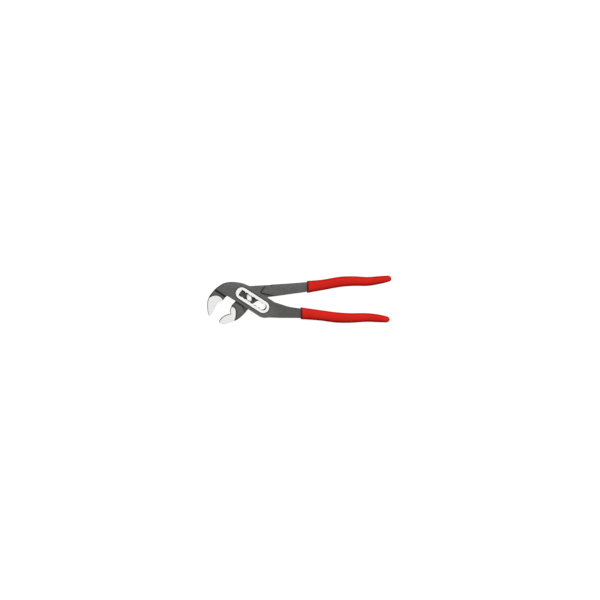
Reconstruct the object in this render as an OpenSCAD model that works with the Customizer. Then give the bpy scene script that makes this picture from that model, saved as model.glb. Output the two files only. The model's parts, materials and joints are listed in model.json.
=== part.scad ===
// Tongue and groove pliers with a box joint and dipped grips.
// The outer arm is the hooked jaw, the slotted box and the lower handle. The inner arm is the
// other jaw, the tongue that passes through the box, and the upper handle. The pin joins them.
// X runs along the tool, jaws towards -X and handles towards +X. Z is up, and Z = 0 is the
// surface that the tool lies on. The origin is on the pin's axis.
// Points of the head are written as [along, across]: along the slot, away from the jaws, and
// across it, towards the upper handle, both from the pin. at() turns them into X and Y.

/* [Handles] */
// Distance from the pin to the end of the upper grip, along X
handle_reach = 194.5; // [150:0.5:240]
// How much shorter the lower handle is
handle_offset = 2.2; // [0:0.1:8]
// Width of the steel handle where the grip starts
handle_w = 12.6; // [10:0.1:15]
// Width of the steel handle near its end
handle_end_w = 5; // [4:0.1:7]
// Thickness of the steel handle inside the grip
handle_t = 8; // [6:0.1:9]
// Distance from the pin to the mouth of the upper grip
grip_start = 79.3; // [70:0.5:100]
// How much nearer the pin the lower grip starts
grip_start_offset = 8.6; // [0:0.1:10]
// Wall of the dipped grip
grip_wall = 1.9; // [1:0.1:2]

/* [Box joint] */
// Angle between the slot and the tool's length
slot_deg = 33; // [28:0.5:38]
// Distance from one groove of the slot to the next
groove_pitch = 5.65; // [4.7:0.05:6.8]
// Number of grooves in the slot
grooves = 7; // [5:1:8]
// Groove that the pin sits in, counted from the jaws
rest_groove = 3; // [2:1:3]
// Radius of each groove
groove_r = 4.4; // [3.9:0.1:5]
// How much longer the groove nearest the jaws is
slot_lead = 0.8; // [0:0.1:1.5]
// Width of the raised rim round the slot
rim_w = 3.9; // [2:0.05:4.5]
// Height of the raised rim above the cheek
rim_rise = 0.7; // [0.3:0.1:1.5]
// Distance from the slot's middle to the cheek's lower edge
cheek_low = 13.3; // [12:0.1:16]
// Distance from the slot's middle to the cheek's upper edge
cheek_up = 13.8; // [12:0.1:16]
// Thickness of one cheek without its rim
cheek_t = 2.4; // [1.8:0.1:3.5]
// Thickness of the tongue between the cheeks
tongue_t = 5.6; // [4:0.1:8]
// Distance from the pin to the tongue's front edge
tongue_front = 13.7; // [12:0.1:16]
// Distance from the pin to the tongue's back edge
tongue_back = 10.8; // [9:0.1:13]

/* [Pin] */
// Radius of the pin inside the tongue
pin_r = 5; // [4.6:0.1:6]
// Width across the flats that slide along the slot
pin_flats = 6.2; // [4.8:0.1:6.2]
// Diameter of the pin's visible button
button_d = 6.2; // [4:0.1:6.2]
// Width of the pin's bright head, between its cross flats
head_w = 6.7; // [6.3:0.1:8]
// How far the cross flats are cut down into the pin
flat_depth = 1.2; // [0.5:0.1:2]

/* [Jaws] */
// Distance from the slot's middle to the jaws' tips, across the slot
jaw_drop = 49.3; // [44:0.5:60]
// Thickness of the hooked jaw, below its step
hook_t = 8.6; // [8:0.1:10.4]
// Length of the slope from the head down to the hooked jaw
hook_step = 2.2; // [0.5:0.1:3]
// Thickness of the lower jaw
jaw_t = 8.6; // [8:0.1:11]
// Depth of the ground faces beside the teeth
ground_depth = 0.4; // [0.2:0.1:0.8]
// Depth of the teeth
tooth_depth = 0.8; // [0.4:0.1:1.2]
// Number of teeth on the hooked jaw
hook_teeth = 14; // [8:1:18]
// Number of teeth on the lower jaw's outer stretch
nose_teeth = 9; // [5:1:12]
// Number of teeth on the lower jaw's inner stretch
heel_teeth = 5; // [3:1:7]

/* [Motion] */
// How far the arms open from the position shown
open_deg = 30; // [10:1:32]
// How far the arms close from the position shown
close_deg = 3.3; // [1:0.1:3.4]

/* [Clearances] */
// Gap between the tongue and each cheek
side_gap = 0.1; // [0.05:0.05:0.3]
// Radial gap round the pin in the tongue and in a groove
pin_gap = 0.05; // [0.02:0.01:0.1]
// Gap left at the stops and at the ends of the window
stop_gap = 0.3; // [0.2:0.1:0.6]

/* [Hidden] */
$fn = 64;

steel = [0.38, 0.38, 0.37];
bright_steel = [0.90, 0.90, 0.89];
grip_red = [0.78, 0.15, 0.13];

box_t = tongue_t + 2 * (side_gap + cheek_t);
full_t = box_t + 2 * rim_rise;
mid_z = full_t / 2;
back_grooves = rest_groove - 1;
front_grooves = grooves - rest_groove;
// Middles of the grooves at the slot's ends, from the pin
slot_back = -back_grooves * groove_pitch - slot_lead;
slot_front = front_grooves * groove_pitch;
rim_r = groove_r + rim_w;
end_r = groove_r - pin_gap * 2;
// The throat stays clear of the tongue in the groove nearest the jaws
throat_room = 1.7;
throat = tongue_front + back_grooves * groove_pitch + throat_room;
// The window ends beyond the tongue in the farthest groove
window_room = 7.6;
window_back = tongue_back + front_grooves * groove_pitch + window_room;
// The shoulders that stop the arms, measured from the pin
stop_up = cheek_up + stop_gap;
stop_low = cheek_low + stop_gap;
// Where the upper handle's thick part starts, and the slope of its shoulder
shoulder_at = 9.8;
shoulder_deg = 19;
// Where the step down to the hooked jaw starts, below the slot's middle
hook_top = cheek_low + 0.9;
far = 400;

// Turn [along, across] the slot into X and Y
function at(p) = [
  p[0] * cos(slot_deg) + p[1] * sin(slot_deg),
  p[1] * cos(slot_deg) - p[0] * sin(slot_deg)
];

// A smooth curve through points of any size, with steps points to each stretch
function between(a, b, c, d, t) = 0.5 * (2 * b + (c - a) * t
  + (2 * a - 5 * b + 4 * c - d) * t * t + (3 * b - a - 3 * c + d) * t * t * t);
function point_on(p, u) = let (
    last = len(p) - 1,
    i = min(floor(u), last - 1),
    before = i == 0 ? 2 * p[0] - p[1] : p[i - 1],
    after = i == last - 1 ? 2 * p[last] - p[last - 1] : p[i + 2]
  ) between(before, p[i], p[i + 1], after, u - i);
function curve(p, steps = 4) =
  [for (k = [0:(len(p) - 1) * steps]) point_on(p, k / steps)];

function unit(v) = v / norm(v);
function left_of(v) = [-v[1], v[0]];
function heading(p, u) = let (e = 0.02, last = len(p) - 1)
  unit(point_on(p, min(u + e, last)) - point_on(p, max(u - e, 0)));

// Saw teeth along a curve: a crest, and a root close behind it, cut to the curve's left
function teeth(p, count, depth) = let (last = len(p) - 1) [
  for (k = [0:count - 1], root = [0, 1])
    let (u = last * (k + 0.32 * root) / count)
    point_on(p, u) + root * depth * left_of(heading(p, u)),
  p[last]
];

// A bar of changing width along [x, y, width] points, grown by wall, with a round end
function bar(p, wall = 0, steps = 4) = let (
    last = len(p) - 1,
    count = last * steps,
    place = [for (k = [0:count]) point_on(p, k / steps)],
    side = [for (k = [0:count]) let (
        a = place[max(k - 1, 0)],
        b = place[min(k + 1, count)]
      ) left_of(unit([b[0] - a[0], b[1] - a[1]]))],
    half = [for (q = place) q[2] / 2 + wall],
    end = place[count],
    turn = atan2(side[count][1], side[count][0])
  ) concat(
    [for (k = [0:count - 1]) [place[k][0], place[k][1]] + side[k] * half[k]],
    [for (k = [0:8]) [end[0], end[1]]
      + half[count] * [cos(turn - k * 22.5), sin(turn - k * 22.5)]],
    [for (k = [count - 1:-1:0]) [place[k][0], place[k][1]] - side[k] * half[k]]
  );

// Middle lines of the two steel handles, from the head to the end, as [x, y, width]
upper_root = 31;
lower_root = window_back + 2.4;
upper_end = handle_reach - handle_end_w / 2 - grip_wall;
lower_end = upper_end - handle_offset;
lower_grip_start = grip_start - grip_start_offset;
function part_way(start, end, share) = start + (end - start) * share;
upper_line = [
  [upper_root, 9.4, 15.8],
  [part_way(upper_root, grip_start, 0.50), 11.7, 14.1],
  [grip_start, 14.1, handle_w],
  [part_way(grip_start, upper_end, 0.20), 16.8, handle_w - 2.0],
  [part_way(grip_start, upper_end, 0.41), 20.6, handle_w - 2.2],
  [part_way(grip_start, upper_end, 0.58), 21.4, handle_w - 3.0],
  [part_way(grip_start, upper_end, 0.75), 20.8, handle_w - 4.0],
  [part_way(grip_start, upper_end, 0.90), 22.7, handle_w - 5.6],
  [upper_end, 24.3, handle_end_w]
];
lower_line = [
  [lower_root - 14, -16, 21.4],
  [lower_root, -18.5, 17.9],
  [part_way(lower_root, lower_grip_start, 0.45), -20.4, 14.5],
  [lower_grip_start, -21.7, handle_w],
  [part_way(lower_grip_start, lower_end, 0.23), -24.8, handle_w - 1.9],
  [part_way(lower_grip_start, lower_end, 0.41), -27.8, handle_w - 2.0],
  [part_way(lower_grip_start, lower_end, 0.58), -28.8, handle_w - 3.0],
  [part_way(lower_grip_start, lower_end, 0.76), -28.3, handle_w - 4.2],
  [part_way(lower_grip_start, lower_end, 0.90), -29.6, handle_w - 5.4],
  [lower_end, -31.2, handle_end_w]
];

// Distance across the slot, as a share of the way from the cheek's lower edge to the tips
function down(share) = -cheek_low - share * (jaw_drop - cheek_low);
function all_at(points) = [for (p = points) at(p)];
// Points of the hooked jaw, moved back by the lower jaw's swing when the arms close
function swung(points) = [for (p = points) [p[0] + p[1] * sin(close_deg), p[1]]];

// Outer arm's head, clockwise from the hooked jaw's teeth
hook_teeth_line = all_at(swung([
  [-throat - 2, down(0.94)], [-throat - 2.5, down(0.78)], [-throat - 3.5, down(0.62)],
  [-throat - 4.7, down(0.48)], [-throat - 4, down(0.35)], [-throat - 0.4, down(0.24)]
]));
throat_line = all_at([
  [-throat - 1.2, down(0.17)], [-throat - 0.9, down(0.08)], [-throat, -cheek_low]
]);
box_bottom = all_at([
  [window_back - 22, -cheek_low], [window_back - 14.2, -cheek_low],
  [window_back - 8.9, 2 - cheek_low], [window_back - 3.9, 5.5 - cheek_low],
  [window_back + 2.2, 9.2 - cheek_low]
]);
box_top = all_at([[window_back - 4, cheek_up], [-throat + 18, cheek_up]]);
hook_back = all_at([
  [-throat + 18, cheek_up], [-throat + 8, cheek_up - 2.3], [-throat - 3.4, cheek_up - 7.8],
  [-throat - 11.8, cheek_up - 15], [-throat - 16.6, 2.4 - cheek_low],
  [-throat - 18.8, down(0.20)], [-throat - 18.8, down(0.47)], [-throat - 15.4, down(0.69)],
  [-throat - 10, down(0.89)], [-throat - 5.6, down(1)]
]);
module outer_outline() {
  polygon(concat(teeth(hook_teeth_line, hook_teeth, -tooth_depth), throat_line,
    curve(box_bottom), box_top, curve(hook_back)));
  polygon(bar(lower_line));
}

// Inner arm's head, anticlockwise from the heel of the lower jaw
heel_line = all_at([
  [-tongue_front, down(0.24)], [-tongue_front + 0.9, down(0.38)],
  [-tongue_front + 2.6, down(0.46)], [-tongue_front + 4.6, down(0.50)]
]);
nose_line = all_at([
  [-tongue_front + 4.6, down(0.50)], [-tongue_front + 1.6, down(0.58)],
  [-tongue_front - 0.8, down(0.68)], [-tongue_front - 2.5, down(0.78)],
  [-tongue_front - 3.2, down(0.88)], [-tongue_front - 3.2, down(0.97)]
]);
under_line = all_at([
  [-tongue_front - 1.6, down(1)], [-tongue_front + 4, down(0.95)],
  [-tongue_front + 10.5, down(0.75)], [tongue_back - 8.4, down(0.56)],
  [tongue_back - 5.2, down(0.30)], [tongue_back - 3.4, -cheek_low],
  [tongue_back - 1.8, -3.9], [tongue_back + 2, 4.2], [tongue_back + 10.5, cheek_up + 0.8],
  [tongue_back + 15, cheek_up + 4.8]
]);
top_line = all_at([
  [18, cheek_up + 18.2], [8.6, cheek_up + 11.6], [-0.8, cheek_up + 5], [-5.2, cheek_up + 1.8],
  [-tongue_front + 4, cheek_up - 1.7], [-tongue_front + 0.8, 6], [-tongue_front, -3],
  [-tongue_front + 1.2, -cheek_low], [-tongue_front + 0.2, down(0.20)]
]);
module inner_outline() {
  polygon(concat(teeth(heel_line, heel_teeth, tooth_depth),
    teeth(nose_line, nose_teeth, tooth_depth), curve(under_line), curve(top_line)));
  polygon(bar(upper_line));
}

// A flat slab seen from the side: thick up to x = from, and thin after x = to
module side_profile(thick, thin, from, to) {
  translate([0, far / 2, mid_z]) rotate([90, 0, 0]) linear_extrude(far) polygon([
    [-far, -thick / 2], [from, -thick / 2], [to, -thin / 2], [far, -thin / 2],
    [far, thin / 2], [to, thin / 2], [from, thick / 2], [-far, thick / 2]
  ]);
}

// Everything within two directions from a corner, in the slot's axes
module wedge(corner, first_deg, last_deg) {
  middle = (first_deg + last_deg) / 2;
  rotate(-slot_deg) translate(corner) polygon([
    [0, 0], far * [cos(first_deg), sin(first_deg)], far * [cos(middle), sin(middle)],
    far * [cos(last_deg), sin(last_deg)]
  ]);
}

// A slab of thickness t about the middle of the tool
module about_middle(t) {
  translate([0, 0, mid_z - t / 2]) linear_extrude(t) children();
}

// Both faces of a slab of thickness t, cut back by depth
module both_faces(t, depth) {
  for (z = [mid_z + t / 2 - depth, mid_z - t / 2 + depth - far])
    translate([0, 0, z]) linear_extrude(far) children();
}

// The slot's rim: two half circles joined by straight sides
module rim_outline() {
  rotate(-slot_deg) polygon(concat(
    [for (k = [-8:8]) [slot_front, 0] + rim_r * [cos(k * 11.25), sin(k * 11.25)]],
    [for (k = [8:24]) [slot_back, 0] + rim_r * [cos(k * 11.25), sin(k * 11.25)]]
  ));
}

// The space between the cheeks, open to the throat and to both sides of the box
module window_outline() {
  rotate(-slot_deg) polygon([
    [-throat, -far], [-throat, far], [window_back + 13, far], [window_back + 13, cheek_up + 5.2],
    [window_back + 5.2, cheek_up - 0.6], [window_back - 3, -cheek_low], [window_back - 3, -far]
  ]);
}

// The ground face beside the hooked jaw's teeth
module hook_ground() {
  polygon(concat(curve(all_at([
    [-throat - 1.2, down(0.23)], [-throat - 5.4, down(0.18)], [-throat - 10.4, down(0.18)],
    [-throat - 15.2, down(0.26)], [-throat - 18.2, down(0.37)], [-throat - 20.2, down(0.52)]
  ])), all_at([[-throat - 20, down(1.2)], [-throat + 6, down(1.2)]])));
}

// The ground face beside the lower jaw's teeth
module nose_ground() {
  polygon(concat(curve(all_at([
    [-tongue_front - 1.5, down(0.26)], [-tongue_front + 3.6, down(0.23)],
    [-tongue_front + 7.6, down(0.29)], [-tongue_front + 10.6, down(0.42)],
    [-tongue_front + 12.5, down(0.53)], [-tongue_front + 13.4, down(0.64)]
  ])), all_at([[-tongue_front + 14, down(1.3)], [-tongue_front - 12, down(1.3)]])));
}

module outer_arm() {
  color(steel) difference() {
    union() {
      intersection() {
        about_middle(box_t) outer_outline();
        side_profile(box_t, handle_t, lower_root - 8, lower_grip_start - 2);
        rotate(-90 - slot_deg) side_profile(box_t, hook_t, hook_top, hook_top + hook_step);
      }
      about_middle(full_t) rim_outline();
    }
    about_middle(tongue_t + 2 * side_gap) window_outline();
    for (along = concat(slot_back, [for (k = [-back_grooves:front_grooves]) k * groove_pitch]))
      translate(at([along, 0])) cylinder(r = groove_r, h = far, center = true);
    both_faces(hook_t, ground_depth) hook_ground();
  }
}

module inner_arm() {
  shoulder = (stop_up + shoulder_at * sin(close_deg)) / cos(close_deg);
  apex = stop_low / cos((open_deg + close_deg) / 2);
  apex_deg = -90 + (close_deg - open_deg) / 2;
  color(steel) difference() {
    union() {
      about_middle(tongue_t) inner_outline();
      intersection() {
        about_middle(jaw_t) intersection() {
          inner_outline();
          union() {
            wedge([shoulder_at, shoulder], shoulder_deg, 90);
            wedge(apex * [cos(apex_deg), sin(apex_deg)], 180 + close_deg, 360 - open_deg);
          }
        }
        side_profile(jaw_t, handle_t, upper_root - 5, grip_start - 2);
      }
    }
    translate([0, 0, mid_z]) cylinder(r = pin_r + pin_gap, h = far, center = true);
    both_faces(jaw_t, ground_depth) nose_ground();
  }
}

module pivot_pin() {
  color(bright_steel) translate([0, 0, mid_z]) {
    cylinder(r = pin_r, h = tongue_t - 2 * flat_depth, center = true);
    intersection() {
      cylinder(r = pin_r, h = tongue_t, center = true);
      cube([head_w, far, far], center = true);
    }
    intersection() {
      cylinder(r = end_r, h = box_t, center = true);
      rotate(-slot_deg) cube([far, pin_flats, far], center = true);
      cube([head_w, far, far], center = true);
    }
    cylinder(d = button_d, h = full_t, center = true);
  }
}

// A dipped sleeve round a handle, with its upper and lower edges set in
module grip(line, start) {
  edge = grip_wall * 0.75;
  color(grip_red) difference() {
    intersection() {
      union() {
        about_middle(full_t) polygon(bar(line, grip_wall - edge));
        about_middle(full_t - 2 * edge) polygon(bar(line, grip_wall));
      }
      translate([start, -far / 2, -far / 2]) cube(far);
    }
    about_middle(handle_t) polygon(bar(line));
  }
}
module lower_grip() { grip(lower_line, lower_grip_start); }
module upper_grip() { grip(upper_line, grip_start); }

outer_arm();
inner_arm();
pivot_pin();
lower_grip();
upper_grip();
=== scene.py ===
import json
import math
import bpy
import bmesh
import numpy as np
from mathutils import Matrix, Vector
from mathutils.bvhtree import BVHTree
from mathutils.kdtree import KDTree


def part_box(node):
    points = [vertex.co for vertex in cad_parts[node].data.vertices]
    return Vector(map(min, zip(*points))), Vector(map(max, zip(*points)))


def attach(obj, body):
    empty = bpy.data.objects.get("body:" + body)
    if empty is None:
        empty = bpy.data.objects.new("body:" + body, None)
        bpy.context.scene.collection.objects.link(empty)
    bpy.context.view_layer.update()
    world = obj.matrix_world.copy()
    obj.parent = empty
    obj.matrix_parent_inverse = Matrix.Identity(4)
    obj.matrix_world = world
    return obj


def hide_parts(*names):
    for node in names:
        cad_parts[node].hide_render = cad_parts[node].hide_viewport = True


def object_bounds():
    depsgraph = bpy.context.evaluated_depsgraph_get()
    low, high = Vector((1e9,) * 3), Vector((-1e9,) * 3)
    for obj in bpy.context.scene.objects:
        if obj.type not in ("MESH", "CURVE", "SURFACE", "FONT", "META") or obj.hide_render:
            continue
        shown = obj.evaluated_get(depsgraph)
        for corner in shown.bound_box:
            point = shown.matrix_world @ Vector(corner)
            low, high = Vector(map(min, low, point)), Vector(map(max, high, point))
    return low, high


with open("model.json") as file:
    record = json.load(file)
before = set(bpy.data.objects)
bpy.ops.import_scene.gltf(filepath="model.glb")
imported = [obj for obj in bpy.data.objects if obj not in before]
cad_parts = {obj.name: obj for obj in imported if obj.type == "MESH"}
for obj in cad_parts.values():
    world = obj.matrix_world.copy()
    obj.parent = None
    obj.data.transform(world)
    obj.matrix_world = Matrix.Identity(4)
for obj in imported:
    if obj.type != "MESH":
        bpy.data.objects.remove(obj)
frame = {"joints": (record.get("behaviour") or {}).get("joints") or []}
cad_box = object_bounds()

MM = 0.001
TOOL_T = cad_box[1].z
MID_Z = TOOL_T / 2

# Heights of the flat faces that are ground bright, above the middle of the tool
RIM_TOP = TOOL_T / 2
JAW_GROUND = 3.9 * MM
LEVEL_REACH = 0.3 * MM
# The width of the pin's head between its cross flats
PIN_HEAD = 6.5 * MM
# The jaws' teeth and outer walls beside a ground face are finished with it, this far round
WALL_SHARE = 0.35

# The camera: its lens in millimetres, what it frames, where it aims, and how far it leans
LENS = 200
VIEW_WIDTH = 0.812
AIM = Vector((0.0693, -0.0034, 9 * MM))
LEAN = math.radians(8)
LEAN_TOWARD = math.radians(142)
# The brightest part of the sky, and the key light
SKY_TOWARD = Vector((0.25, 0.30, 0.92))
KEY_FROM = Vector((0.52, 0.62, 0.60))
KEY_STRENGTH = 3.0
KEY_SIZE = math.radians(24)
# Half the width of the floor, and the radius and half the height of the backdrop
STAGE_SIZE = 8
# How far below the tool the floor lies
FLOOR_DROP = 0.2 * MM

# How fine the steel pieces are remeshed, and how far from a corner wear and painted shade show
VOXEL = 0.3 * MM
PIN_VOXEL = 0.15 * MM
SHARP = math.radians(27)
CORNER_STEP = 0.25 * MM
EDGE_REACH = 0.8 * MM
HOLLOW_SHADE_REACH = 1.8 * MM
SHOULDER_SHADE_REACH = 2.4 * MM

# Where the arms' colour changes from the box's to the handle's
HANDLE_FADE = (24 * MM, 42 * MM)
# Where the rim's brightness gives way to the jaws' duller one
JAW_FADE = (-22 * MM, -19 * MM)

# A sleeve: the points round it, how square it is across, the rings along it and over its tip,
# the length and fullness of the tip, and how far it settles in from the mouth's bead
SIDES = 72
SQUARENESS = 2.5
RINGS = 90
TIP_RINGS = 16
TIP_LENGTH = 11 * MM
TIP_FULLNESS = 2.4
SETTLE = 0.35 * MM
SETTLE_LENGTH = 6 * MM
SIDE_SETTLE = 0.4
LEAST_HALF = 0.05 * MM
# The mouth, in millimetres: in from the sleeve's surface, and forward from its end, going in
# from the steel, over a soft lip, and out to a slight bead
MOUTH = [(2.6, 0.9), (2.2, 0.25), (1.5, 0.02), (0.9, 0.0), (0.35, 0.18), (0.08, 0.55), (0.0, 1.1)]
# How far the painted shade on a sleeve's mouth reaches
MOUTH_SHADE_REACH = 1.5 * MM

# Teeth lie left of the first two, and are rounded least; handles lie right of the third
HOOK_CRISP_X = -20 * MM
NOSE_CRISP_X = -14 * MM
HANDLE_X = 52 * MM
EVERYWHERE = -1.0
# The arms' ground faces lie left of these, in X
OUTER_GROUND_X = 35 * MM
INNER_GROUND_X = -12 * MM

# The slot in plan: its direction, half its width, and where it starts and ends along it
SLIDE = next(joint for joint in frame["joints"] if joint["name"] == "groove_slide")
SLOT_DIRECTION = Vector(SLIDE["axis"])
SLOT_HALF_W = 4.5 * MM
SLOT_START = -17 * MM
SLOT_END = 27.3 * MM
# The step down to the hooked jaw, painted dark as shade: between these lines across the slot, and
# above this height
STEP_TOP = -14.3 * MM
STEP_FOOT = -17.2 * MM
STEP_FOOT_HEIGHT = 4.0 * MM
# The painted shadow on the lower jaw along the cheek's edge
CHEEK_EDGE = -14.0 * MM
CHEEK_SHADOW_REACH = 2.2 * MM
# The tongue's faces, and the band of painted shade on them that shows through the slot
TONGUE_FACE = 2.8 * MM
SLOT_SHADE_START = SLOT_START - 30 * MM
SLOT_SHADE_HALF_W = 5.5 * MM
SLOT_SHADE_LIGHT_HALF_W = 2.6 * MM
SLOT_SHADE_FADE = 1.2 * MM


# ---------------------------------------------------------------- materials

def new_material(name):
    """A node material and its Principled shader."""
    material = bpy.data.materials.new(name)
    material.use_nodes = True
    return material, material.node_tree.nodes["Principled BSDF"]


def add(material, kind, inputs=None, **settings):
    """One node, with its settings and unlinked input values."""
    node = material.node_tree.nodes.new(kind)
    for key, value in settings.items():
        setattr(node, key, value)
    for key, value in (inputs or {}).items():
        node.inputs[key].default_value = value
    return node


def link(material, source, target):
    material.node_tree.links.new(source, target)


def object_noise(material, scale, detail=4.0, roughness=0.55, stretch=(1, 1, 1), turn=0.0):
    """Noise in the object's own coordinates, stretched along a turned axis."""
    place = add(material, "ShaderNodeTexCoord")
    mapping = add(material, "ShaderNodeMapping", {"Rotation": (0, 0, turn), "Scale": stretch})
    noise = add(material, "ShaderNodeTexNoise",
                {"Scale": scale, "Detail": detail, "Roughness": roughness})
    link(material, place.outputs["Object"], mapping.inputs["Vector"])
    link(material, mapping.outputs["Vector"], noise.inputs["Vector"])
    return noise.outputs["Fac"]


def grey(value):
    return (value, value, value)


def ramp(material, source, stops):
    """A colour ramp from (place, colour) stops."""
    node = add(material, "ShaderNodeValToRGB")
    elements = node.color_ramp.elements
    while len(elements) < len(stops):
        elements.new(0.5)
    for element, (place, colour) in zip(elements, stops):
        element.position = place
        element.color = (*colour, 1)
    link(material, source, node.inputs["Fac"])
    return node.outputs["Color"]


def mapped(material, source, low, high, to_low, to_high):
    """A number carried from one range to another, and held at its ends."""
    node = add(material, "ShaderNodeMapRange",
               {"From Min": low, "From Max": high, "To Min": to_low, "To Max": to_high})
    link(material, source, node.inputs["Value"])
    return node.outputs["Result"]


def blend(material, factor, first, second, mode="MIX"):
    """Two colours mixed by a number or another node's output."""
    node = add(material, "ShaderNodeMix", data_type="RGBA", blend_type=mode)
    if isinstance(factor, float):
        node.inputs[0].default_value = factor
    else:
        link(material, factor, node.inputs[0])
    link(material, first, node.inputs[6])
    link(material, second, node.inputs[7])
    return node.outputs[2]


def blend_number(material, factor, first, second):
    node = add(material, "ShaderNodeMix", data_type="FLOAT")
    link(material, factor, node.inputs[0])
    link(material, first, node.inputs[2])
    link(material, second, node.inputs[3])
    return node.outputs[0]


def product(material, first, second):
    node = add(material, "ShaderNodeMath", operation="MULTIPLY")
    link(material, first, node.inputs[0])
    link(material, second, node.inputs[1])
    return node.outputs[0]


def vertex_number(material, name):
    return add(material, "ShaderNodeAttribute", attribute_name=name).outputs["Fac"]


def bumps(material, shader, layers):
    """Stack bump layers of (height source, depth in metres, strength)."""
    before = None
    for source, depth, strength in layers:
        bump = add(material, "ShaderNodeBump", {"Distance": depth})
        if isinstance(strength, float):
            bump.inputs["Strength"].default_value = strength
        else:
            link(material, strength, bump.inputs["Strength"])
        link(material, source, bump.inputs["Height"])
        if before:
            link(material, before, bump.inputs["Normal"])
        before = bump.outputs["Normal"]
    link(material, before, shader.inputs["Normal"])


def along_tool(material):
    """The object's own X, in metres."""
    place = add(material, "ShaderNodeTexCoord")
    split = add(material, "ShaderNodeSeparateXYZ")
    link(material, place.outputs["Object"], split.inputs["Vector"])
    return split.outputs["X"]


def arm_steel(name, grind_turn, far_tone):
    """Dark oiled forging, ground bright where the ground attribute is above nought.

    grind_turn is the direction of the grinding marks. The handle's end has far_tone of the box's
    tone. Wear on the corners is left off near a ground face. Painted shade darkens the forging
    where the painted_shade attribute is high.
    """
    material, shader = new_material(name)
    ground_inside = vertex_number(material, "ground")
    ground = mapped(material, ground_inside, 0.08, 0.2, 0, 1)
    edge = vertex_number(material, "edge")
    painted_shade = vertex_number(material, "painted_shade")

    cloud = object_noise(material, 90, 5)
    drift = object_noise(material, 35, 3, 0.5, (0.25, 1, 1))
    mottle = object_noise(material, 480, 3)
    grain = object_noise(material, 1500, 3)
    forged = ramp(material, cloud, [(0.3, (0.088, 0.089, 0.084)), (0.7, (0.106, 0.106, 0.101))])
    speck = ramp(material, grain, [(0.35, grey(0.86)), (0.65, grey(1.08))])
    forged = blend(material, 1.0, forged, speck, "MULTIPLY")
    patch = ramp(material, mottle, [(0.36, grey(0.80)), (0.64, grey(1.12))])
    forged = blend(material, 1.0, forged, patch, "MULTIPLY")
    scuff = object_noise(material, 420, 6, 0.7)
    worn = product(material, edge, mapped(material, scuff, 0.48, 0.64, 0.0, 0.45))
    worn = product(material, worn, mapped(material, ground_inside, -1.0, -0.9, 1, 0))
    forged = blend(material, worn, forged,
                   ramp(material, grain, [(0.3, grey(0.22)), (0.7, grey(0.32))]))
    streak = ramp(material, drift, [(0.38, grey(0.86)), (0.62, grey(1.10))])
    forged = blend(material, 1.0, forged, streak, "MULTIPLY")
    tone = mapped(material, along_tool(material), *HANDLE_FADE, 1.0, far_tone)
    forged = blend(material, 1.0, forged, tone, "MULTIPLY")
    # Painted shade: the forging darkens towards its inward corners, its slot walls and its steps
    painted_darkening = ramp(material, painted_shade, [(0.0, grey(1.0)), (1.0, grey(0.16))])
    forged = blend(material, 1.0, forged, painted_darkening, "MULTIPLY")

    marks = object_noise(material, 150, 4, 0.6, (1, 24, 1), grind_turn)
    bright = ramp(material, marks, [(0.3, (0.86, 0.86, 0.85)), (0.7, (0.96, 0.96, 0.95))])
    jaw = mapped(material, along_tool(material), *JAW_FADE, 1, 0)
    jaw_tone = ramp(material, mottle, [(0.35, (0.86, 0.86, 0.845)), (0.65, (0.97, 0.97, 0.96))])
    bright = blend(material, jaw, bright, blend(material, 1.0, bright, jaw_tone, "MULTIPLY"))
    link(material, blend(material, ground, forged, bright), shader.inputs["Base Color"])

    link(material, mapped(material, ground, 0, 1, 0.3, 1.0), shader.inputs["Metallic"])
    rough = blend_number(material, ground, mapped(material, cloud, 0.3, 0.7, 0.38, 0.52),
                         mapped(material, marks, 0.3, 0.7, 0.27, 0.40))
    link(material, rough, shader.inputs["Roughness"])
    on_forged = mapped(material, ground, 0, 1, 0.5, 0.03)
    on_bright = mapped(material, ground, 0, 1, 0.0, 0.4)
    bumps(material, shader, [
        (object_noise(material, 260, 4), 0.12 * MM, on_forged),
        (mottle, 0.06 * MM, on_forged),
        (grain, 0.03 * MM, on_forged),
        (marks, 0.02 * MM, on_bright),
    ])
    return material


def turned_steel():
    """Bright steel with the fine rings of a lathe, painted dark as shade outside its head, where
    the cross flats are cut.
    """
    material, shader = new_material("turned_steel")
    shader.inputs["Metallic"].default_value = 1.0
    place = add(material, "ShaderNodeTexCoord")
    rings = add(material, "ShaderNodeTexWave",
                {"Scale": 900, "Distortion": 0.6, "Detail": 2},
                wave_type="RINGS", rings_direction="Z")
    link(material, place.outputs["Object"], rings.inputs["Vector"])
    cloud = object_noise(material, 500, 4)
    tone = ramp(material, cloud, [(0.3, (0.86, 0.86, 0.85)), (0.7, (0.96, 0.96, 0.95))])
    painted_flat_shade = ramp(material, cloud, [(0.3, grey(0.05)), (0.7, grey(0.09))])
    head = mapped(material, vertex_number(material, "ground"), -0.1, 0.1, 0, 1)
    link(material, blend(material, head, painted_flat_shade, tone), shader.inputs["Base Color"])
    link(material, mapped(material, cloud, 0.3, 0.7, 0.22, 0.34), shader.inputs["Roughness"])
    bumps(material, shader, [(rings.outputs["Fac"], 0.01 * MM, 0.5)])
    return material


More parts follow.
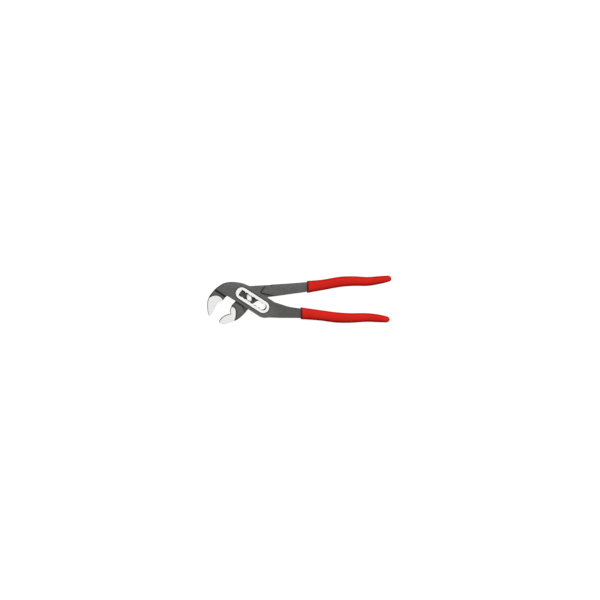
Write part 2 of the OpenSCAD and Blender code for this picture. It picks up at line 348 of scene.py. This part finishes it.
def dipped_plastic():
    """Red dipped plastic, smooth, with a little orange peel, scuffing, and painted shade at the
    mouth.
    """
    material, shader = new_material("dipped_plastic")
    cloud = object_noise(material, 45, 4)
    tone = ramp(material, cloud, [(0.3, (0.455, 0.005, 0.001)), (0.7, (0.51, 0.007, 0.0015))])
    speck = ramp(material, object_noise(material, 900, 4), [(0.3, grey(0.93)), (0.7, grey(1.03))])
    tone = blend(material, 1.0, tone, speck, "MULTIPLY")
    mouth = ramp(material, vertex_number(material, "mouth"), [(0.0, grey(1.0)), (1.0, grey(0.22))])
    link(material, blend(material, 1.0, tone, mouth, "MULTIPLY"), shader.inputs["Base Color"])
    rub = object_noise(material, 260, 5)
    link(material, mapped(material, rub, 0.3, 0.7, 0.38, 0.52), shader.inputs["Roughness"])
    shader.inputs["Specular IOR Level"].default_value = 0.18
    bumps(material, shader, [
        (object_noise(material, 110, 3), 0.12 * MM, 0.25),
        (object_noise(material, 700, 2), 0.02 * MM, 0.4),
    ])
    return material


# ------------------------------------------------------------------- shapes

def new_object(name, mesh, material):
    thing = bpy.data.objects.new(name, mesh)
    mesh.materials.clear()
    mesh.materials.append(material)
    bpy.context.scene.collection.objects.link(thing)
    return thing


def apply_modifiers(thing):
    """Replace the object's mesh with what its modifiers make of it."""
    graph = bpy.context.evaluated_depsgraph_get()
    result = bpy.data.meshes.new_from_object(thing.evaluated_get(graph))
    thing.modifiers.clear()
    thing.data = result


def corners(mesh):
    """Points along the solid's sharp edges: those that stick out and those that turn in."""
    solid = bmesh.new()
    solid.from_mesh(mesh)
    bmesh.ops.remove_doubles(solid, verts=solid.verts, dist=0.001 * MM)
    out, turned_in = [], []
    for edge in solid.edges:
        if len(edge.link_faces) != 2 or edge.calc_face_angle() < SHARP:
            continue
        points = out if edge.is_convex else turned_in
        a, b = (vert.co for vert in edge.verts)
        steps = max(1, math.ceil(edge.calc_length() / CORNER_STEP))
        points.extend(a.lerp(b, k / steps) for k in range(steps + 1))
    solid.free()
    return tree_of(out), tree_of(turned_in)


def tree_of(points):
    tree = KDTree(max(1, len(points)))
    for k, point in enumerate(points):
        tree.insert(point, k)
    tree.balance()
    return tree


def nearness(tree, points, reach):
    """1 at a corner, falling to 0 at reach from it."""
    near = np.zeros(len(points))
    for k, point in enumerate(points):
        distance = tree.find(point)[2]
        if distance is not None and distance < reach:
            near[k] = 1 - distance / reach
    return near


def flat_triangles(mesh, height, x_limit):
    """Corners in plan of the upward triangles at this height above the middle."""
    mesh.calc_loop_triangles()
    found = []
    for triangle in mesh.loop_triangles:
        points = [mesh.vertices[v].co for v in triangle.vertices]
        level = all(abs(p.z - MID_Z - height) < 0.01 * MM for p in points)
        if level and triangle.normal.z > 0.99 and min(p.x for p in points) < x_limit:
            found.append([(round(p.x, 7), round(p.y, 7)) for p in points])
    return np.array(found)


def border(triangles):
    """The edges in plan that only one of the triangles has."""
    count = {}
    for triangle in triangles:
        for k in range(3):
            edge = tuple(sorted((tuple(triangle[k]), tuple(triangle[(k + 1) % 3]))))
            count[edge] = count.get(edge, 0) + 1
    return np.array([edge for edge, n in count.items() if n == 1])


def depth_inside(triangles, points):
    """Distance in plan from the border of the triangles, positive inside them."""
    def side(p, q):
        return (q[0] - p[0]) * (points[:, 1] - p[1]) - (q[1] - p[1]) * (points[:, 0] - p[0])

    inside = np.zeros(len(points), bool)
    for a, b, c in triangles:
        sides = np.array([side(a, b), side(b, c), side(c, a)])
        inside |= (sides >= 0).all(axis=0) | (sides <= 0).all(axis=0)
    nearest = np.full(len(points), 1.0)
    for a, b in border(triangles):
        along = b - a
        t = np.clip((points - a) @ along / (along @ along), 0, 1)
        nearest = np.minimum(nearest, np.linalg.norm(points - a - t[:, None] * along, axis=1))
    return np.where(inside, nearest, -nearest)


def ground_depth(cad, points, heights, x_limit):
    """Millimetres inside a ground face's border, or -1 away from one."""
    depth = np.full(len(points), -1.0)
    off_middle = np.abs(points[:, 2] - MID_Z)
    for height, walls_too in heights:
        triangles = flat_triangles(cad, height, x_limit)
        near = off_middle < height + LEVEL_REACH
        if not walls_too:
            near &= off_middle > height - LEVEL_REACH
        rows = np.where(near & (points[:, 0] < x_limit))[0]
        inside = depth_inside(triangles, points[rows, :2]) / MM
        inside += np.where(off_middle[rows] < height - LEVEL_REACH, WALL_SHARE, 0)
        depth[rows] = np.maximum(depth[rows], np.clip(inside, -1, 1))
    return depth


def store(mesh, name, values):
    mesh.attributes.new(name, "FLOAT", "POINT").data.foreach_set("value", values.astype(np.float32))


def smooth(thing, passes, chosen):
    """Smooth the chosen vertices."""
    modifier = thing.modifiers.new("smooth", "SMOOTH")
    modifier.factor = 0.5
    modifier.iterations = passes
    group = thing.vertex_groups.new(name="chosen")
    group.add([int(v) for v in np.where(chosen)[0]], 1.0, "REPLACE")
    modifier.vertex_group = group.name


def rounded(name, node, material, voxel, smoothing, hollow_shade_reach=HOLLOW_SHADE_REACH,
            ground_heights=(), ground_x=0.0, ground_rule=None, painted_shadows=None):
    """The node's solid with its corners and hollows rounded, as forging leaves them.

    smoothing is a list of (passes, x): each smooths all that lies to the right of x.
    """
    cad = bpy.data.objects[node].data
    thing = new_object(name, cad.copy(), material)
    remesh = thing.modifiers.new("remesh", "REMESH")
    remesh.mode = "VOXEL"
    remesh.voxel_size = voxel
    apply_modifiers(thing)
    mesh = thing.data
    count = len(mesh.vertices)
    place = np.empty(count * 3)
    mesh.vertices.foreach_get("co", place)
    place = place.reshape(-1, 3)
    out, turned_in = corners(cad)
    edge = nearness(out, place, EDGE_REACH)
    # Painted shade, near 1 by the inward corners and wherever painted_shadows marks the surface
    painted_shade = nearness(turned_in, place, hollow_shade_reach)
    if painted_shadows:
        painted_shade = np.maximum(painted_shade, painted_shadows(place))
    if ground_rule:
        ground = ground_rule(place)
    else:
        ground = ground_depth(cad, place, ground_heights, ground_x)
    for passes, start in smoothing:
        smooth(thing, passes, place[:, 0] > start)
    apply_modifiers(thing)
    mesh = thing.data
    store(mesh, "edge", edge)
    store(mesh, "painted_shade", painted_shade)
    store(mesh, "ground", ground)
    mesh.shade_smooth()
    mesh.materials.clear()
    mesh.materials.append(material)
    return thing


def section(y, z, half_w, half_t, x):
    """A ring of points: a rounded rectangle across the tool at x."""
    points = []
    for k in range(SIDES):
        angle = 2 * math.pi * k / SIDES
        c, s = math.cos(angle), math.sin(angle)
        points.append(Vector((
            x,
            y + half_w * math.copysign(abs(c) ** (2 / SQUARENESS), c),
            z + half_t * math.copysign(abs(s) ** (2 / SQUARENESS), s),
        )))
    return points


def sleeve(name, node, material):
    """A dipped grip: a soft rounded sleeve that follows the node's outline."""
    low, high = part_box(node)
    source = bmesh.new()
    source.from_mesh(bpy.data.objects[node].data)
    tree = BVHTree.FromBMesh(source)
    source.free()

    def outline(x):
        top = tree.ray_cast(Vector((x, high.y + 0.01, MID_Z)), Vector((0, -1, 0)))[0]
        bottom = tree.ray_cast(Vector((x, low.y - 0.01, MID_Z)), Vector((0, 1, 0)))[0]
        return (top.y + bottom.y) / 2, (top.y - bottom.y) / 2

    straight = high.x - low.x - TIP_LENGTH
    full_t = (high.z - low.z) / 2
    stations = [low.x + straight * k / RINGS for k in range(2, RINGS + 1)]
    stations += [high.x - TIP_LENGTH * (1 - math.sin(math.pi / 2 * k / TIP_RINGS))
                 for k in range(1, TIP_RINGS + 1)]
    rings = []
    for inset, forward in MOUTH:
        x = low.x + max(forward, 0.01) * MM
        y, half_w = outline(x + 0.01 * MM)
        rings.append(section(y, MID_Z, half_w - inset * MM, full_t - inset * MM, x))
    for x in stations:
        y, half_w = outline(min(x, high.x - 0.002 * MM))
        settle = SETTLE * min(1.0, (x - low.x) / SETTLE_LENGTH)
        over = max(0.0, (x - (high.x - TIP_LENGTH)) / TIP_LENGTH)
        close = max(0.0, 1 - over ** TIP_FULLNESS) ** (1 / TIP_FULLNESS)
        rings.append(section(y, MID_Z, max(half_w - settle * SIDE_SETTLE, LEAST_HALF),
                             max((full_t - settle) * close, LEAST_HALF), x))
    mesh = bmesh.new()
    made = [[mesh.verts.new(p) for p in ring] for ring in rings]
    for one, two in zip(made, made[1:]):
        for k in range(SIDES):
            mesh.faces.new((one[k], two[k], two[(k + 1) % SIDES], one[(k + 1) % SIDES]))
    for ring in (made[0], made[-1]):
        mesh.faces.new(ring)
    bmesh.ops.recalc_face_normals(mesh, faces=mesh.faces)
    for face in mesh.faces:
        face.smooth = True
    data = bpy.data.meshes.new(name)
    mesh.to_mesh(data)
    mesh.free()
    from_mouth = np.array([v.co.x - low.x for v in data.vertices])
    # Painted shade at the mouth, darkest next to the steel
    store(data, "mouth", np.clip(1.6 - from_mouth / MOUTH_SHADE_REACH, 0, 1))
    return new_object(name, data, material)


# ------------------------------------------------------------------- pieces

def slot_place(points):
    """How far each point lies along the slot, across it, and above or below the middle."""
    along = points[:, 0] * SLOT_DIRECTION.x + points[:, 1] * SLOT_DIRECTION.y
    across = points[:, 1] * SLOT_DIRECTION.x - points[:, 0] * SLOT_DIRECTION.y
    return along, across, np.abs(points[:, 2] - MID_Z)


def outer_painted_shade(points):
    """Near 1 on the outer arm's slot walls and on the step down to its jaw: painted shade."""
    along, across, height = slot_place(points)
    walls = (np.abs(across) < SLOT_HALF_W) & (along > SLOT_START) & (along < SLOT_END)
    walls &= height < RIM_TOP - 0.4 * MM
    step = (across < STEP_TOP) & (across > STEP_FOOT) & (height > STEP_FOOT_HEIGHT)
    return np.where(walls, 0.97, 0.0) + np.where(step, 0.92, 0.0)


def inner_painted_shade(points):
    """Painted shade on the tongue's faces under the slot, darkest along the feet of its walls, and
    a painted shadow on the lower jaw along the cheek's edge.
    """
    along, across, height = slot_place(points)
    band = (np.abs(across) < SLOT_SHADE_HALF_W) & (height > TONGUE_FACE - LEVEL_REACH)
    band &= (height < TONGUE_FACE + LEVEL_REACH) & (along > SLOT_SHADE_START)
    wall_foot_shade = np.clip((np.abs(across) - SLOT_SHADE_LIGHT_HALF_W) / SLOT_SHADE_FADE, 0, 1)
    cheek_shadow = np.clip(1 - (CHEEK_EDGE - across) / CHEEK_SHADOW_REACH, 0, 1)
    cheek_shadow = np.where((across < CHEEK_EDGE) & (height > TONGUE_FACE + LEVEL_REACH), cheek_shadow, 0.0)
    return np.where(band, 0.45 + 0.5 * wall_foot_shade, cheek_shadow)


def pin_head(points):
    """Millimetres inside the pin's head, between its cross flats."""
    return (PIN_HEAD / 2 - np.abs(points[:, 0])) / MM


turned = turned_steel()
red = dipped_plastic()

outer_steel = arm_steel("outer_arm_steel", math.radians(33), 0.68)
inner_steel = arm_steel("inner_arm_steel", math.radians(60), 1.0)

outer = rounded("outer_arm_forging", "outer_arm", outer_steel,
                VOXEL, [(1, EVERYWHERE), (5, HOOK_CRISP_X), (14, HANDLE_X)],
                ground_heights=((RIM_TOP, False), (JAW_GROUND, True)), ground_x=OUTER_GROUND_X,
                painted_shadows=outer_painted_shade)
inner = rounded("inner_arm_forging", "inner_arm", inner_steel,
                VOXEL, [(1, EVERYWHERE), (5, NOSE_CRISP_X), (14, HANDLE_X)],
                hollow_shade_reach=SHOULDER_SHADE_REACH, ground_heights=((JAW_GROUND, True),),
                ground_x=INNER_GROUND_X, painted_shadows=inner_painted_shade)
pin = rounded("pivot_pin_turned", "pivot_pin", turned, PIN_VOXEL, [(4, EVERYWHERE)],
              ground_rule=pin_head)
lower = sleeve("lower_grip_sleeve", "lower_grip", red)
upper = sleeve("upper_grip_sleeve", "upper_grip", red)

for piece, node, body, finish in [
    (outer, "outer_arm", "outer_arm", "blackened_steel"),
    (inner, "inner_arm", "inner_arm", "blackened_steel"),
    (pin, "pivot_pin", "pivot_pin", "bright_steel"),
    (lower, "lower_grip", "outer_arm", "dipped_grip"),
    (upper, "upper_grip", "inner_arm", "dipped_grip"),
]:
    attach(piece, body)
    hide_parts(node)


# ------------------------------------------------------- floor, light, camera

def stage_piece(name, mesh, albedo, glow):
    """A white thing round the tool that lights nothing and shows in no reflection."""
    material, shader = new_material(name)
    shader.inputs["Base Color"].default_value = (*grey(albedo), 1)
    shader.inputs["Roughness"].default_value = 1.0
    shader.inputs["Specular IOR Level"].default_value = 0.0
    shader.inputs["Emission Color"].default_value = (1, 1, 1, 1)
    shader.inputs["Emission Strength"].default_value = glow
    data = bpy.data.meshes.new(name)
    mesh.to_mesh(data)
    mesh.free()
    thing = new_object(name, data, material)
    thing.visible_diffuse = False
    thing.visible_glossy = False
    return thing


def floor():
    """A plain white light table, with the faintest of shadows."""
    mesh = bmesh.new()
    bmesh.ops.create_grid(mesh, x_segments=1, y_segments=1, size=STAGE_SIZE)
    stage_piece("floor", mesh, 0.16, 0.93).location.z = -FLOOR_DROP


def backdrop():
    """White paper all round, for the views from low down."""
    mesh = bmesh.new()
    bmesh.ops.create_cone(mesh, segments=64, radius1=STAGE_SIZE, radius2=STAGE_SIZE,
                          depth=2 * STAGE_SIZE)
    stage_piece("backdrop", mesh, 0.0, 1.0).visible_shadow = False


def sky():
    """An even white ceiling, brighter towards the upper right and dim towards the lower left."""
    world = bpy.data.worlds.new("studio")
    bpy.context.scene.world = world
    world.use_nodes = True
    nodes, links = world.node_tree.nodes, world.node_tree.links
    place = nodes.new("ShaderNodeTexCoord")
    toward = nodes.new("ShaderNodeVectorMath")
    toward.operation = "DOT_PRODUCT"
    toward.inputs[1].default_value = SKY_TOWARD
    fall = nodes.new("ShaderNodeMapRange")
    fall.interpolation_type = "SMOOTHSTEP"
    fall.inputs["From Min"].default_value = 0.20
    fall.inputs["From Max"].default_value = 0.88
    fall.inputs["To Min"].default_value = 0.05
    fall.inputs["To Max"].default_value = 1.05
    links.new(place.outputs["Generated"], toward.inputs[0])
    links.new(toward.outputs["Value"], fall.inputs["Value"])
    links.new(fall.outputs["Result"], nodes["Background"].inputs["Strength"])
    nodes["Background"].inputs["Color"].default_value = (1, 1, 1, 1)


def key_light():
    """A softbox from the upper right, which draws each step's short shadow and isn't reflected."""
    data = bpy.data.lights.new("key", "SUN")
    data.energy = KEY_STRENGTH
    data.angle = KEY_SIZE
    thing = bpy.data.objects.new("key", data)
    bpy.context.scene.collection.objects.link(thing)
    thing.rotation_euler = KEY_FROM.to_track_quat("Z", "Y").to_euler()
    thing.visible_glossy = False


def camera():
    """A long lens over the tool, leaning a little towards the jaws, with +Y up the picture."""
    data = bpy.data.cameras.new("camera")
    data.lens = LENS
    data.clip_end = 50
    thing = bpy.data.objects.new("camera", data)
    bpy.context.scene.collection.objects.link(thing)
    back = Vector((math.sin(LEAN) * math.cos(LEAN_TOWARD), math.sin(LEAN) * math.sin(LEAN_TOWARD),
                   math.cos(LEAN)))
    right = Vector((0, 1, 0)).cross(back).normalized()
    up = back.cross(right)
    turn = Matrix((right, up, back)).transposed()
    distance = VIEW_WIDTH * LENS / data.sensor_width
    thing.matrix_world = Matrix.Translation(AIM + distance * back) @ turn.to_4x4()
    bpy.context.scene.camera = thing


floor()
backdrop()
sky()
key_light()
camera()
bpy.context.scene.view_settings.view_transform = "Standard"
